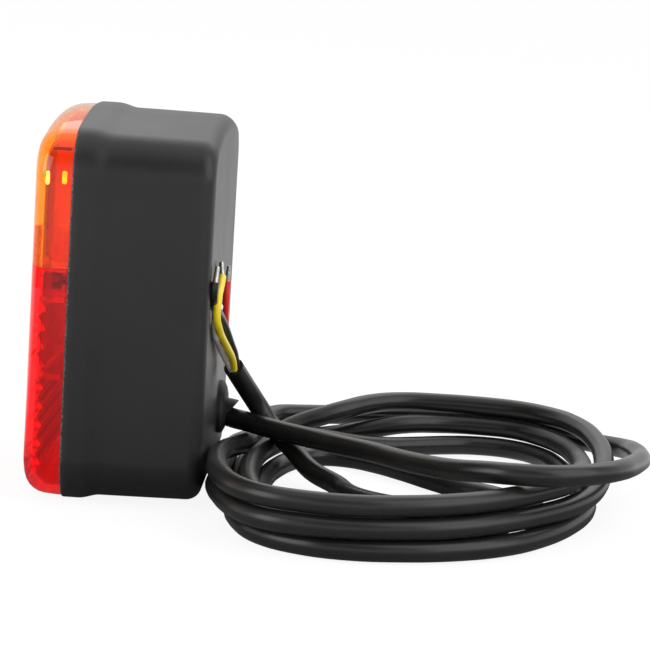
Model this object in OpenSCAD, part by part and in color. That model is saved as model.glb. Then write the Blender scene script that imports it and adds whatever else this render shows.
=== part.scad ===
// Trailer tail light: upright two-chamber lamp (amber indicator above, red stop, tail and
// reflex below) with a moulded housing, screwed-on lens, two bayonet bulbs on a carrier,
// a grommet in the back wall and a four-core lead lying in an oval coil behind it.
// Millimetres. X runs from the lens to the mounting face, Y across, Z up.

/* [Lamp body] */
// Height of the lamp over the front lip, at the top of its crown
lamp_h = 108; // [90:1:130]
// Width of the lamp over the front lip
lamp_w = 98; // [80:1:120]
// Depth of the lens in front of the lip
lens_d = 11; // [8:1:20]
// Depth of the housing from lip to mounting face
housing_d = 39; // [30:1:60]
// Wall of the housing
wall = 2.6; // [2:0.1:4]
// Wall of the lens
lens_wall = 2.4; // [1.8:0.1:3.5]

/* [Front lip] */
// Depth of the flat part of the lip
lip_flat = 4.8; // [3:0.1:8]
// Depth of the ramp from the lip down to the body
lip_ramp = 5.9; // [3:0.1:10]
// Step from the lip down to the body
lip_step = 1.2; // [0.5:0.1:3]
// Corner radius of the lip
corner_r = 13; // [8:0.5:16]
// Radius of the crowned top edge
crown_r = 200; // [150:5:400]
// Fillet round the back of the body
back_fillet = 4.3; // [2:0.1:6]

/* [Mounting] */
// Distance between the two mounting holes
mount_pitch = 52; // [40:1:60]
// Height of the mounting holes
mount_z = 70; // [60:1:80]
// Radius of the mounting holes
mount_r = 2.75; // [2:0.05:4]

/* [Lens] */
// Height of the amber and red boundary
amber_z = 66; // [60:1:75]
// Height of the rib over the red chamber
rib_z = 57.5; // [54:0.5:62]
// Height of the top of the reflex zone
reflex_z = 36; // [30:1:42]
// Height of the two lens screws
screw_z = 61.8; // [60:0.1:64]
// Sideways distance of each lens screw from the middle
screw_y = 38; // [34:1:40]
// Pitch of the reflex ridges
reflex_pitch = 4; // [3:0.5:6]

/* [Bulbs] */
// Height of the indicator bulb's axis
ind_z = 84; // [80:1:88]
// Height of the stop and tail bulb's axis
stop_z = 47; // [44:1:50]
// Radius of the bulb glass
glass_r = 12.7; // [11:0.1:13]
// Radius of the bulb cap
cap_r = 7.5; // [7:0.1:8]
// Free push of a bulb against its contacts
bulb_push = 1.8; // [1:0.1:2]

/* [Cable] */
// Outside diameter of the lead
cable_d = 6; // [5:0.1:8]
// Outside diameter of one core
core_d = 2; // [1.4:0.1:2.5]
// Height of the coil, three turns
coil_h = 18; // [12:1:24]

/* [Hidden] */
$fn = 48;
slab = 0.05;
front_x = -25;
seam_x = front_x + lens_d;
back_x = seam_x + housing_d;
inner_x = back_x - wall - 0.2;
ramp_x = seam_x + lip_flat;
body_x = ramp_x + lip_ramp;
mouth_inset = lip_step + wall;
rebate_d = 2.4;
rebate_in = 1.8;
gasket_t = 1.2;
lens_inset = 0.5;
carrier_x = 16;
carrier_t = 2;
boss_r = 3.6;
boss_front = seam_x + 0.5;
screw_clear = 0.3;
head_x = -19.2;
bulb_x = 1;
bulb_y = 24;
socket_in = cap_r + 0.3;
socket_out = 8.9;
socket_len = 22.5;
socket_back = -6.5;
pin_u = 7.5;
pin_r = 1;
notch_u = pin_u - bulb_push - pin_r - 0.3;
glass_u = 36;
grommet_y = 16;
grommet_z = 18.6;
tube_sides = 10;
core_sides = 8;
coil_x = 84;
coil_y = -14;
coil_turn = -19;
coil_short = 50;
coil_long = 84;
clamp_x = 12.5;
clamp_w = 5;
lead_z = 18.5;

housing_col = [0.13, 0.13, 0.14];
amber_col = [0.95, 0.35, 0.05, 0.7];
red_col = [0.8, 0.03, 0.04, 0.75];
black_col = [0.04, 0.04, 0.045];
steel_col = [0.75, 0.76, 0.78];
brass_col = [0.8, 0.62, 0.3];
white_col = [0.9, 0.9, 0.88];
glass_col = [0.9, 0.95, 1, 0.3];

// The lead from inside the housing, through the grommet, over the coil and down behind it
lead_path = [
  [11, 16, 18.5], [18, 16, 18.5], [23, 15.8, 17.6], [28.2, 15, 15.9], [34, 11.5, 15.4],
  [44.5, 3, 14.9], [54, -3, 14.5], [63, -8, 14], [72, -17.5, 14.5], [80.5, -31, 15.5],
  [88.5, -44, 17], [96, -55.5, 18.8], [103.5, -64, 20.5], [111, -68, 21.2], [119, -67, 21.2],
  [127, -63, 21.1], [133.5, -58.5, 21], [139, -51, 20.5], [144, -36.5, 19], [146, -17, 16.5],
  [146, 0, 12.5], [145.5, 14, 9], [142.5, 30, 6]
];

// The tail end, out of the coil and up to lean on the back of the lamp
tail_path = [
  [103, -66, 3.1], [108, -55, 3.1], [104, -45, 3.1], [95, -39.5, 3.1], [85, -37, 3.1],
  [75, -33, 3.1], [67, -25, 3.1], [62, -13.5, 3.5], [57, -5, 5], [53.2, 2, 6.6],
  [50.3, 6.5, 8.3], [47.2, 9.3, 10.8], [44, 11, 13.7], [41, 12, 17], [38.3, 9, 21],
  [36, 4, 25], [33.5, -1, 28.6], [31.6, -6, 32.3], [30, -10, 35.5]
];

yellow_path = [
  [30.3, -10.2, 35.6], [30, -11.8, 38], [28.6, -14.5, 41], [27.3, -18, 45.5],
  [26.6, -23, 50.5], [26.5, -25, 55], [26.4, -21, 59], [26.4, -17, 62.4]
];
red_path = [
  [30.2, -8.8, 35.8], [30, -8.4, 38.5], [29, -7.5, 42], [27.8, -6.5, 47],
  [27.2, -7, 53], [27.4, -8, 60]
];
black_path = [
  [31.1, -9.8, 36], [30.6, -10.6, 39], [29.2, -12.4, 44], [27.4, -17, 50.5],
  [26.3, -25, 54.5], [26.3, -30, 58.5], [26.3, -30, 62.5]
];
white_path = [
  [29.2, -10.6, 35.1], [28.2, -13.2, 36.8], [27, -18, 40.8], [26.4, -24, 45.5],
  [26.3, -27, 50]
];

inner_yellow_path = [
  [11, 17.1, 19.6], [9, 26, 24], [8.4, 38, 34], [8, 43.3, 48], [8, 43.4, 66],
  [7, 43.2, 77], [5.4, 42, 83.4], [5.4, 38.5, 84]
];
inner_black_path = [
  [11, 17.1, 17.4], [8, 26, 21], [6, 36, 30], [5.2, 41.4, 40], [5.2, 41.8, 48.4],
  [5.4, 38.5, 50.8]
];
inner_red_path = [
  [11, 14.9, 17.4], [8, 18, 15], [3, 27, 17], [0, 36, 25], [0.6, 40.4, 34], [2.4, 40.6, 40.5],
  [5.4, 38.5, 43.2]
];
inner_white_path = [
  [11, 14.9, 19.6], [10, 16.5, 24.5], [10.1, 21, 31], [10.3, 24.5, 38]
];

function unit(v) = v / norm(v);
function tangent(p, i) = i == 0 ? p[1] - p[0]
  : i == len(p) - 1 ? p[i] - p[i - 1]
  : unit(p[i + 1] - p[i]) + unit(p[i] - p[i - 1]);
function side_dir(t, up) = unit(cross(unit(t), up));
function ring(c, t, up, r, n) =
  let(a = side_dir(t, up), b = cross(unit(t), a))
  [for (k = [0:n - 1]) c + r * (cos(360 * k / n) * a + sin(360 * k / n) * b)];
function ring_faces(i, n) = [
  for (k = [0:n - 1]) [i * n + k, (i + 1) * n + k, (i + 1) * n + (k + 1) % n, i * n + (k + 1) % n]
];
function flat(l) = [for (a = l, b = a) b];

module sweep(path, r, n, up) {
  rings = flat([for (i = [0:len(path) - 1]) ring(path[i], tangent(path, i), up, r, n)]);
  sides = flat([for (i = [0:len(path) - 2]) ring_faces(i, n)]);
  start = [for (k = [0:n - 1]) k];
  end = [for (k = [n - 1:-1:0]) (len(path) - 1) * n + k];
  polyhedron(points = rings, faces = concat(sides, [start, end]));
}

function arc(cy, cz, r, from, to, n) = [
  for (i = [0:n]) let(t = from + (to - from) * i / n) [cy + r * cos(t), cz + r * sin(t)]
];

// Front view outline of the lamp, set in by a distance, with a crowned top edge
module outline(inset) {
  r = max(corner_r - inset, 3);
  side = lamp_w / 2 - inset - r;
  half_h = lamp_h / 2 - inset;
  crown = crown_r - inset;
  rise = sqrt(pow(crown - r, 2) - side * side);
  crown_z = half_h - crown;
  turn = atan2(rise, side);
  gap = (90 - turn) / 8;
  polygon(concat(
    arc(side, crown_z + rise, r, 0, turn, 10),
    arc(0, crown_z, crown, turn + gap, 180 - turn - gap, 14),
    arc(-side, crown_z + rise, r, 180 - turn, 180, 10),
    arc(-side, r - half_h, r, 180, 270, 10),
    arc(side, r - half_h, r, 270, 360, 10)
  ));
}

module plate(x, inset, t = slab) {
  translate([x, 0, lamp_h / 2])
    rotate([90, 0, 90])
      linear_extrude(t)
        outline(inset);
}

module along_x(x0, x1, y, z, r) {
  translate([x0, y, z])
    rotate([0, 90, 0])
      cylinder(r = r, h = x1 - x0);
}

// Local bulb frame: Z runs from the contact end to the tip of the glass
module bulb_frame(z) {
  translate([bulb_x, bulb_y, z])
    rotate([90, 0, 0])
      children();
}

module housing_skin() {
  hull() {
    plate(seam_x, 0);
    plate(ramp_x, 0);
    plate(body_x, lip_step);
  }
  hull() {
    plate(body_x, lip_step);
    plate(back_x - back_fillet, lip_step + 0.3);
    plate(back_x - back_fillet / 2, lip_step + 0.3 + back_fillet * 0.134);
    plate(back_x - back_fillet * 0.134, lip_step + 0.3 + back_fillet / 2);
    plate(back_x - slab, lip_step + 0.3 + back_fillet);
  }
}

module housing() color(housing_col) {
  difference() {
    union() {
      difference() {
        housing_skin();
        hull() {
          plate(seam_x - 1, mouth_inset);
          plate(inner_x - slab, mouth_inset + 0.3);
        }
        plate(seam_x - 1, rebate_in, rebate_d + 1);
      }
      for (y = [-screw_y, screw_y])
        along_x(boss_front, inner_x + 1, y, screw_z, boss_r);
      for (y = [-screw_y, screw_y])
        along_x(carrier_x + carrier_t, inner_x + 1, y, 92, 3.2);
      translate([clamp_x, grommet_y - 7, 3])
        cube([clamp_w, 14, lead_z - 3]);
    }
    for (y = [-screw_y, screw_y])
      along_x(boss_front - 1, 0, y, screw_z, 1.45 + screw_clear);
    for (y = [-screw_y, screw_y])
      along_x(carrier_x, inner_x - 0.2, y, 92, 1.1);
    for (y = [-mount_pitch / 2, mount_pitch / 2])
      along_x(inner_x - 1, back_x + 1, y, mount_z, mount_r);
    along_x(inner_x - 1, back_x + 1, grommet_y, grommet_z, 5.5);
    along_x(clamp_x - 1, clamp_x + clamp_w + 1, grommet_y, lead_z, cable_d / 2);
    for (y = [-4.8, 4.8])
      translate([clamp_x + clamp_w / 2, grommet_y + y, 9])
        cylinder(r = 1.1, h = 20);
  }
}

module gasket() color(black_col) {
  translate([seam_x + rebate_d - gasket_t, 0, lamp_h / 2])
    rotate([90, 0, 90])
      linear_extrude(gasket_t)
        difference() {
          outline(rebate_in);
          outline(mouth_inset);
        }
}

module lens_outer() {
  hull() {
    plate(seam_x - slab, lens_inset);
    plate(seam_x - 5, lens_inset + 0.3);
    plate(-22, lens_inset + 1.4);
    plate(-23.9, lens_inset + 3.5);
    plate(-24.8, lens_inset + 6.5);
    plate(front_x, lens_inset + 12);
  }
}

module lens_inner() {
  hull() {
    plate(seam_x, lens_inset + lens_wall);
    plate(seam_x - 5, lens_inset + lens_wall + 0.3);
    plate(-20.6, lens_inset + lens_wall + 1.7);
    plate(-21.9, lens_inset + lens_wall + 3.7);
    plate(-22.5, lens_inset + lens_wall + 7);
  }
}

module lens_shell() {
  difference() {
    lens_outer();
    lens_inner();
  }
  translate([seam_x - 1, 0, lamp_h / 2])
    rotate([90, 0, 90])
      linear_extrude(1 + rebate_d - gasket_t)
        difference() {
          outline(rebate_in + 0.3);
          outline(mouth_inset - 0.2);
        }
}

module lens_amber() color(amber_col) {
  intersection() {
    lens_shell();
    translate([-40, -60, amber_z])
      cube([60, 120, 60]);
  }
}

module lens_red() color(red_col) {
  difference() {
    union() {
      intersection() {
        lens_shell();
        translate([-40, -60, -10])
          cube([60, 120, amber_z + 10]);
      }
      translate([-22.8, -44, rib_z - 1.4])
        cube([7.8, 88, 1.4]);
      translate([-22.8, -44, amber_z - 1.4])
        cube([7.8, 88, 1.4]);
      translate([-22.8, -44, reflex_z - 1.4])
        cube([7.8, 88, 1.4]);
      for (y = [-screw_y, screw_y])
        along_x(-23.5, -15.4, y, screw_z, 4.1);
    }
    for (y = [-screw_y, screw_y])
      along_x(-30, -17, y, screw_z, 3.1);
    for (y = [-screw_y, screw_y])
      along_x(-30, -10, y, screw_z, 1.7);
  }
}

module reflex_reflector() color(red_col) {
  n = floor(24 / reflex_pitch);
  translate([-22.5, 39, 10])
    rotate([90, 0, 0])
      linear_extrude(78)
        polygon(concat(
          [[0, 0]],
          [[0, n * reflex_pitch]],
          flat([for (i = [n - 1:-1:0]) [
            [1.4, (i + 1) * reflex_pitch],
            [2.8, (i + 0.5) * reflex_pitch]
          ]]),
          [[1.4, 0]]
        ));
}

module lens_screws() color(steel_col) {
  for (y = [-screw_y, screw_y]) {
    difference() {
      along_x(head_x, -17, y, screw_z, 2.8);
      translate([head_x - 1, y - 2, screw_z - 0.35])
        cube([1.9, 4, 0.7]);
      translate([head_x - 1, y - 0.35, screw_z - 2])
        cube([1.9, 0.7, 4]);
    }
    along_x(-17, -3, y, screw_z, 1.45);
  }
}

module bulb_carrier() color(white_col) {
  difference() {
    union() {
      translate([carrier_x, -43, 34])
        cube([carrier_t, 86, 62]);
      translate([-9, -33.8, 61])
        cube([carrier_x + 9, 67.6, 1.6]);
      for (z = [ind_z, stop_z])
        translate([4, 9, z - 10])
          cube([carrier_x - 4, 12, 20]);
    }
    for (z = [ind_z, stop_z])
      translate([bulb_x, 0, z])
        rotate([-90, 0, 0])
          cylinder(r = socket_out, h = 30);
    for (y = [-screw_y, screw_y]) {
      along_x(carrier_x - 1, carrier_x + 3, y, screw_z, boss_r + 0.4);
      along_x(carrier_x - 1, carrier_x + 3, y, 92, 1.1);
    }
    for (y = [-mount_pitch / 2, mount_pitch / 2])
      along_x(carrier_x - 1, carrier_x + 3, y, mount_z, 5.5);
    translate([9.6, 21.6, 60])
      cube([1.4, 5.8, 4]);
  }
}

module carrier_screws() color(steel_col) {
  for (y = [-screw_y, screw_y]) {
    along_x(carrier_x, inner_x - 0.4, y, 92, 1.1);
    difference() {
      along_x(carrier_x - 1.7, carrier_x, y, 92, 2.6);
      translate([carrier_x - 2.5, y - 2, 91.7])
        cube([1.5, 4, 0.6]);
    }
  }
}

// Bayonet socket: entry slot, a turn at the pushed level and a notch the pin springs back into
module socket() {
  difference() {
    translate([0, 0, socket_back])
      cylinder(r = socket_out, h = socket_len);
    translate([0, 0, socket_back - 1])
      cylinder(r = socket_in, h = socket_len + 2);
    for (a = [90, 270]) {
      rotate([0, 0, a])
        translate([6, -1.3, notch_u])
          cube([4, 2.6, bulb_push + 2.6]);
      rotate([0, 0, a])
        translate([0, 0, notch_u + 0.2])
          rotate_extrude(angle = 35)
            translate([6.5, 0])
              square([3, 2.3]);
      rotate([0, 0, a + 35])
        translate([6, -1.3, notch_u])
          cube([4, 2.6, 20]);
    }
  }
}

module socket_indicator() color(steel_col) bulb_frame(ind_z) socket();

module socket_stop() color(steel_col) bulb_frame(stop_z) socket();

module socket_insulators() color(black_col) {
  bulb_frame(ind_z)
    difference() {
      translate([0, 0, socket_back])
        cylinder(r = socket_in, h = 2);
      translate([0, 0, socket_back - 1])
        cylinder(r = 1.3, h = 4);
    }
  bulb_frame(stop_z)
    difference() {
      translate([0, 0, socket_back])
        cylinder(r = socket_in, h = 2);
      for (s = [-1, 1])
        translate([0, s * 3.2, socket_back - 1])
          cylinder(r = 1.3, h = 4);
    }
}

module plunger(r) {
  translate([0, 0, -1.6])
    cylinder(r = r, h = 1.6);
  translate([0, 0, -8])
    cylinder(r = 1, h = 6.4);
}

module plunger_indicator() color(brass_col) bulb_frame(ind_z) plunger(2.6);

module plungers_stop() color(brass_col)
  bulb_frame(stop_z)
    for (s = [-1, 1])
      translate([0, s * 3.2, 0])
        plunger(2.2);

module bulb_glass() {
  rotate_extrude($fn = 40)
    intersection() {
      square([20, 60]);
      difference() {
        union() {
          translate([0, glass_u])
            circle(glass_r, $fn = 40);
          translate([0, 14])
            square([6.6, 14]);
        }
        translate([0, glass_u])
          circle(glass_r - 0.8, $fn = 40);
        translate([0, 16.5])
          square([5.8, 12]);
      }
    }
}

module bulb_cap() {
  difference() {
    translate([0, 0, 2])
      cylinder(r = cap_r, h = 14);
    translate([0, 0, 3])
      cylinder(r = cap_r - 0.5, h = 14);
    translate([0, 0, 1])
      cylinder(r = 5.4, h = 3);
  }
  difference() {
    translate([0, 0, 14])
      cylinder(r = cap_r - 0.5, h = 2);
    translate([0, 0, 13])
      cylinder(r = 6.6, h = 4);
  }
  for (s = [-1, 1])
    translate([0, s * (cap_r - 0.25), pin_u])
      rotate([-90 * s, 0, 0])
        cylinder(r = pin_r, h = 1.35);
}

module filament(z) {
  for (s = [-1, 1])
    translate([s * 3, 0, 16.5])
      cylinder(r = 0.35, h = z - 16.5);
  translate([-3, 0, z])
    rotate([0, 90, 0])
      cylinder(r = 0.5, h = 6);
}

module indicator_glass() color(glass_col) bulb_frame(ind_z) bulb_glass();

module indicator_cap() color(brass_col) bulb_frame(ind_z) bulb_cap();

module indicator_contact() color(steel_col)
  bulb_frame(ind_z) {
    translate([0, 0, 1])
      cylinder(r = 5.4, h = 3);
    cylinder(r = 2, h = 1);
  }

module indicator_filament() color(steel_col) bulb_frame(ind_z) filament(36);

module stop_glass() color(glass_col) bulb_frame(stop_z) bulb_glass();

module stop_cap() color(brass_col) bulb_frame(stop_z) bulb_cap();

module stop_contacts() color(steel_col)
  bulb_frame(stop_z) {
    translate([0, 0, 1])
      cylinder(r = 5.4, h = 3);
    for (s = [-1, 1])
      translate([0, s * 3.2, 0])
        cylinder(r = 1.8, h = 1);
  }

module stop_filaments() color(steel_col)
  bulb_frame(stop_z) {
    filament(36);
    translate([0, 4, 0])
      filament(31);
  }

module terminals() color(brass_col) {
  end_y = bulb_y - socket_back;
  translate([5, end_y, ind_z - 3.1])
    cube([0.8, 8, 6.2]);
  for (z = [stop_z - 3.8, stop_z + 3.8])
    translate([5, end_y, z - 2.4])
      cube([0.8, 8, 4.8]);
}

module earth_strip() color(brass_col)
  translate([bulb_x + socket_out, 22, 38])
    cube([0.8, 5, 52]);

module cable_clamp() color(black_col)
  difference() {
    translate([clamp_x, grommet_y - 7, lead_z])
      cube([clamp_w, 14, 4.4]);
    along_x(clamp_x - 1, clamp_x + clamp_w + 1, grommet_y, lead_z, cable_d / 2);
    for (y = [-4.8, 4.8])
      translate([clamp_x + clamp_w / 2, grommet_y + y, lead_z - 1])
        cylinder(r = 1.1, h = 10);
  }

module clamp_screws() color(steel_col)
  for (y = [-4.8, 4.8])
    translate([clamp_x + clamp_w / 2, grommet_y + y, 0]) {
      translate([0, 0, 9.5])
        cylinder(r = 1.1, h = lead_z + 4.4 - 9.5);
      translate([0, 0, lead_z + 4.4])
        cylinder(r = 2, h = 1.4);
    }

module grommet() color(black_col)
  difference() {
    translate([0, grommet_y, grommet_z])
      rotate([0, 90, 0])
        rotate_extrude()
          polygon([
            [0, inner_x - 1.5], [7, inner_x - 1.5], [7, inner_x], [5.5, inner_x],
            [5.5, back_x], [7.9, back_x], [7.9, back_x + 1], [7, back_x + 2.4],
            [5.4, back_x + 3.8], [3.6, back_x + 4.8], [0, back_x + 5.3]
          ]);
    translate([14, 16.3, 18.9])
      rotate([0, 104, -4.5])
        cylinder(r = cable_d / 2, h = 24);
  }

module cable_lead() color(black_col) sweep(lead_path, cable_d / 2, tube_sides, [0, 0, 1]);

module coil_outline(grow) {
  scale([1, (coil_long + grow) / (coil_short + grow)])
    circle(coil_short + grow, $fn = 72);
}

module cable_coil() color(black_col)
  translate([coil_x, coil_y, 0])
    rotate([0, 0, coil_turn])
      linear_extrude(coil_h)
        difference() {
          coil_outline(3);
          coil_outline(-6);
        }

module cable_tail() color(black_col) sweep(tail_path, cable_d / 2, tube_sides, [0, 0, 1]);

module wire_yellow() color([0.85, 0.6, 0.05]) sweep(yellow_path, core_d / 2, core_sides, [1, 0, 0]);

module wire_red() color([0.7, 0.05, 0.05]) sweep(red_path, core_d / 2, core_sides, [1, 0, 0]);

module wire_black() color(black_col) sweep(black_path, core_d / 2, core_sides, [1, 0, 0]);

module wire_white() color(white_col) sweep(white_path, core_d / 2, core_sides, [1, 0, 0]);

module wire_tips() color(steel_col) {
  translate([26.4, -17, 62.4])
    cylinder(r = 0.6, h = 5);
  translate([27.4, -8, 60])
    cylinder(r = 0.6, h = 5);
  translate([26.3, -30, 62.5])
    cylinder(r = 0.6, h = 5);
  translate([26.3, -27, 50])
    cylinder(r = 0.6, h = 5);
}

module inner_yellow() color([0.85, 0.6, 0.05])
  sweep(inner_yellow_path, core_d / 2, core_sides, [1, 0, 0]);

module inner_black() color(black_col)
  sweep(inner_black_path, core_d / 2, core_sides, [1, 0, 0]);

module inner_red() color([0.7, 0.05, 0.05])
  sweep(inner_red_path, core_d / 2, core_sides, [1, 0, 0]);

module inner_white() color(white_col)
  sweep(inner_white_path, core_d / 2, core_sides, [1, 0, 0]);

housing();
gasket();
lens_amber();
lens_red();
reflex_reflector();
lens_screws();
bulb_carrier();
carrier_screws();
socket_indicator();
socket_stop();
socket_insulators();
plunger_indicator();
plungers_stop();
indicator_glass();
indicator_cap();
indicator_contact();
indicator_filament();
stop_glass();
stop_cap();
stop_contacts();
stop_filaments();
terminals();
earth_strip();
cable_clamp();
clamp_screws();
grommet();
cable_lead();
cable_coil();
cable_tail();
wire_yellow();
wire_red();
wire_black();
wire_white();
wire_tips();
inner_yellow();
inner_black();
inner_red();
inner_white();
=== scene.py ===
import bpy
import math
from mathutils import Matrix, Vector


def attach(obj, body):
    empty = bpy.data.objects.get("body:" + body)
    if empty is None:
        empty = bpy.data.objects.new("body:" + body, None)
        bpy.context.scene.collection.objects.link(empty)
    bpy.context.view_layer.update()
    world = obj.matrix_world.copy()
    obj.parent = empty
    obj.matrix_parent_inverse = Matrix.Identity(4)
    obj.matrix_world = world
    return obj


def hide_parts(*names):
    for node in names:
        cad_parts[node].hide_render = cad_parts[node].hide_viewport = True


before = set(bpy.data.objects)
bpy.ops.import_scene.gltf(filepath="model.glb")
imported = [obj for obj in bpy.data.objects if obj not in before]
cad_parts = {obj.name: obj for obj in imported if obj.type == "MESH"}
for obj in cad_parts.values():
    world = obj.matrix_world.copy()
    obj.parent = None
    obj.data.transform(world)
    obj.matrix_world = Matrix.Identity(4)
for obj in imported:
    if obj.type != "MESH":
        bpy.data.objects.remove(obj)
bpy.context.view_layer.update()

# Sizes and places in millimetres, angles in degrees
MM = 0.001
LAMP_W = 98.0
LENS_FRONT, SEAM, BACK = -25.0, -14.0, 25.0
LIP_END, BODY_START = SEAM + 4.8, SEAM + 10.7
AMBER_Z, RIB_Z, REFLEX_Z = 66.0, 57.5, 36.0
LAMP_TOP = 108.0
CORNER_R, CROWN_R = 13.0, 200.0
SCREW_Y, SCREW_Z = 38.0, 61.8
CARRIER_SCREW_Z = 92
MOUNT_Y, MOUNT_Z, MOUNT_R = 26, 70, 2.75
GROMMET_Y, GROMMET_Z = 16, 18.6
CABLE_HOLE_R = 5.5
OPTIC_Y, OPTIC_TOP = 45.9, 99.0
SMOOTH_MOULD, SMOOTH_OPTIC, SMOOTH_RIDGE = 28, 30, 20


# ---------------------------------------------------------------- camera
def place_camera():
    """A long lens from above the lamp's top, turned a little aside, tipped down and rolled."""
    eye = Vector((0.078, -0.789, 0.1703))
    yaw, pitch, roll = math.radians(1.62), math.radians(8.83), math.radians(3.5)
    level = math.cos(pitch)
    forward = Vector((-math.sin(yaw) * level, math.cos(yaw) * level, -math.sin(pitch)))
    right = Vector((math.cos(yaw), math.sin(yaw), 0.0))
    up = right.cross(forward)
    turned_right = math.cos(roll) * right + math.sin(roll) * up
    turned_up = -math.sin(roll) * right + math.cos(roll) * up
    turn = Matrix((turned_right, turned_up, -forward)).transposed()
    data = bpy.data.cameras.new("camera")
    data.sensor_width = 36.0
    data.lens = 152.08
    data.clip_start, data.clip_end = 0.05, 60.0
    camera = bpy.data.objects.new("camera", data)
    bpy.context.scene.collection.objects.link(camera)
    camera.matrix_world = Matrix.Translation(eye) @ turn.to_4x4()
    bpy.context.scene.camera = camera


place_camera()


# ---------------------------------------------------------------- cable and cores
LEAD = [
    (11, 16, 18.5), (18, 16, 18.5), (23, 15.8, 17.6), (28.2, 15, 15.9), (34, 11.5, 15.4),
    (39, 7, 15.2), (44.5, 3, 14.9), (54, -3, 14.5), (63, -8, 14), (72, -17.5, 14.5),
    (80.5, -31, 15.5), (88.5, -44, 17), (96, -55.5, 18.8), (103, -63, 20.4),
    (110.5, -67, 21.1), (118.5, -67.2, 21.2), (126.5, -64, 21.1), (133.5, -58.2, 20.9),
    (139.2, -49.5, 20.3), (143.8, -36, 18.9), (148, -18.5, 17.2), (149.6, -4, 15.2), (149.2, 11, 14),
    (147.2, 26, 12), (136.4, 46, 9.7), (125, 61.2, 9.3), (112, 69, 9.6), (98, 72, 9.3),
    (84, 72, 9), (72, 68.5, 9.1), (60, 61.8, 9.8), (49, 56.5, 10.3), (41, 51.5, 10.6),
    (36.8, 40, 10.3), (35.4, 27, 9.8), (34.3, 13, 9.2), (31.5, 3, 9.6), (29, -8, 10.5),
]
TOP_TURN = [
    (28.3, -26, 12.2), (29.3, -45, 13.9), (32.1, -65, 15.1), (37, -78, 15.2), (44.5, -86, 15.1),
    (55, -90, 15), (68, -91.5, 15), (81, -88.5, 15), (94, -82.5, 15), (107, -72, 15),
    (118, -59, 15), (126.3, -46, 15.1), (130.6, -28, 14.6), (132.3, -12, 13), (132.5, 6, 11.5),
    (132, 22, 10), (129.5, 38, 9.2), (124, 51, 9), (115, 60.5, 9), (104, 63, 9),
    (92, 62, 9), (80, 57, 9), (69, 54.5, 7), (58, 54, 4.6), (47, 53.5, 3.2),
    (37.5, 51.5, 3.1), (31, 43, 3.1), (28.6, 30, 3.1), (28.4, 13, 3.1), (28.3, -8, 3.5),
]
MIDDLE_TURN = [
    (28.4, -26, 5.2), (29.5, -45, 7.5), (31.8, -60, 8.8), (36.5, -75, 9), (44.5, -86, 9),
    (55, -90.5, 9), (68, -91.5, 9), (81, -89, 9), (94, -84, 9), (107, -74, 9),
    (119, -60, 9), (128, -46, 9), (134.6, -30, 9.5), (138.4, -10, 11.3), (139.6, 4, 12.8),
    (138.6, 20, 14.2), (133, 43, 15), (126, 54.5, 15), (116, 62, 15), (104, 65, 15),
    (92, 65.5, 15), (79, 63.5, 15), (69, 57, 14.7), (61.5, 50.5, 13.5), (54.5, 47, 11.6),
    (48, 44.8, 9.4), (42.2, 41.4, 6.8), (38.2, 35.6, 4.5), (35.7, 26.5, 3.2), (34.5, 12, 3.1),
    (34.4, -4.5, 3.1),
]
FLOOR_TURN = [
    (34.6, -15, 3.1), (34.6, -32, 3.1), (35, -50, 3.1), (38, -66, 3.1), (44, -79, 3.1),
    (55, -87.5, 3.1), (68, -90.5, 3.1), (82, -88.5, 3.1), (94.5, -84, 3.1), (108, -75, 3.1),
    (119, -61.5, 3.1), (128, -43, 3.1), (133.5, -22, 3.1), (133.5, -3, 3.1), (131.5, 16, 3.1),
    (128.5, 34, 3.1), (123.5, 49, 3.1), (115, 58, 3.1), (104, 60.5, 3.1), (94, 58, 3.1),
    (84, 53, 3.1), (75, 47, 3.6), (66, 41.5, 4.8), (58, 38, 6.4), (50, 33.5, 7.6),
    (44.4, 24, 7.6), (40.4, 13, 7.4), (38, -8, 8.6),
]
INNER_TURN = [
    (37.4, -26, 9), (38.6, -45, 9.2), (42, -61, 9.2), (48, -73, 9.2), (57, -81, 9.2),
    (68, -84.5, 9.2), (80, -82, 9.2), (91, -77, 9.2), (102, -68.5, 9.3), (112.5, -55.5, 8.3),
    (118.5, -39, 5.4), (116, -24, 3.4), (107.5, -13, 3.1), (98, -5.8, 3.1), (89, 4, 3.1),
    (80, 15, 3.1), (71.5, 23.5, 3.1), (64.5, 27.8, 3.1), (57.2, 28.2, 3.1), (51, 24, 3.1),
    (46.9, 16.6, 3.1), (44, 7.5, 3.1), (41.2, -8, 3.1),
]
TAIL = [
    (40.8, -26, 3.1), (42, -45, 3.1), (45.5, -60, 3.1), (51, -71, 3.1), (58.5, -79, 3.1),
    (68, -83, 3.1), (80, -81.5, 3.1), (92, -76, 3.1), (103, -66, 3.1), (108, -55, 3.1),
    (104, -45, 3.1), (95, -39.5, 3.1), (85, -37, 3.1), (75, -33, 3.1), (67, -25, 3.1),
    (62, -13.5, 3.5), (54.3, -4, 5.3), (48.4, 5, 9.1), (44.2, 11, 11.8), (40.2, 14.6, 15.1),
    (37, 15, 19.5), (34.3, 12.6, 23.9), (31.9, 8.2, 28.4), (29.6, 3, 33),
]
CABLE_D = 6.0
CORE_D = 2.2
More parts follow.
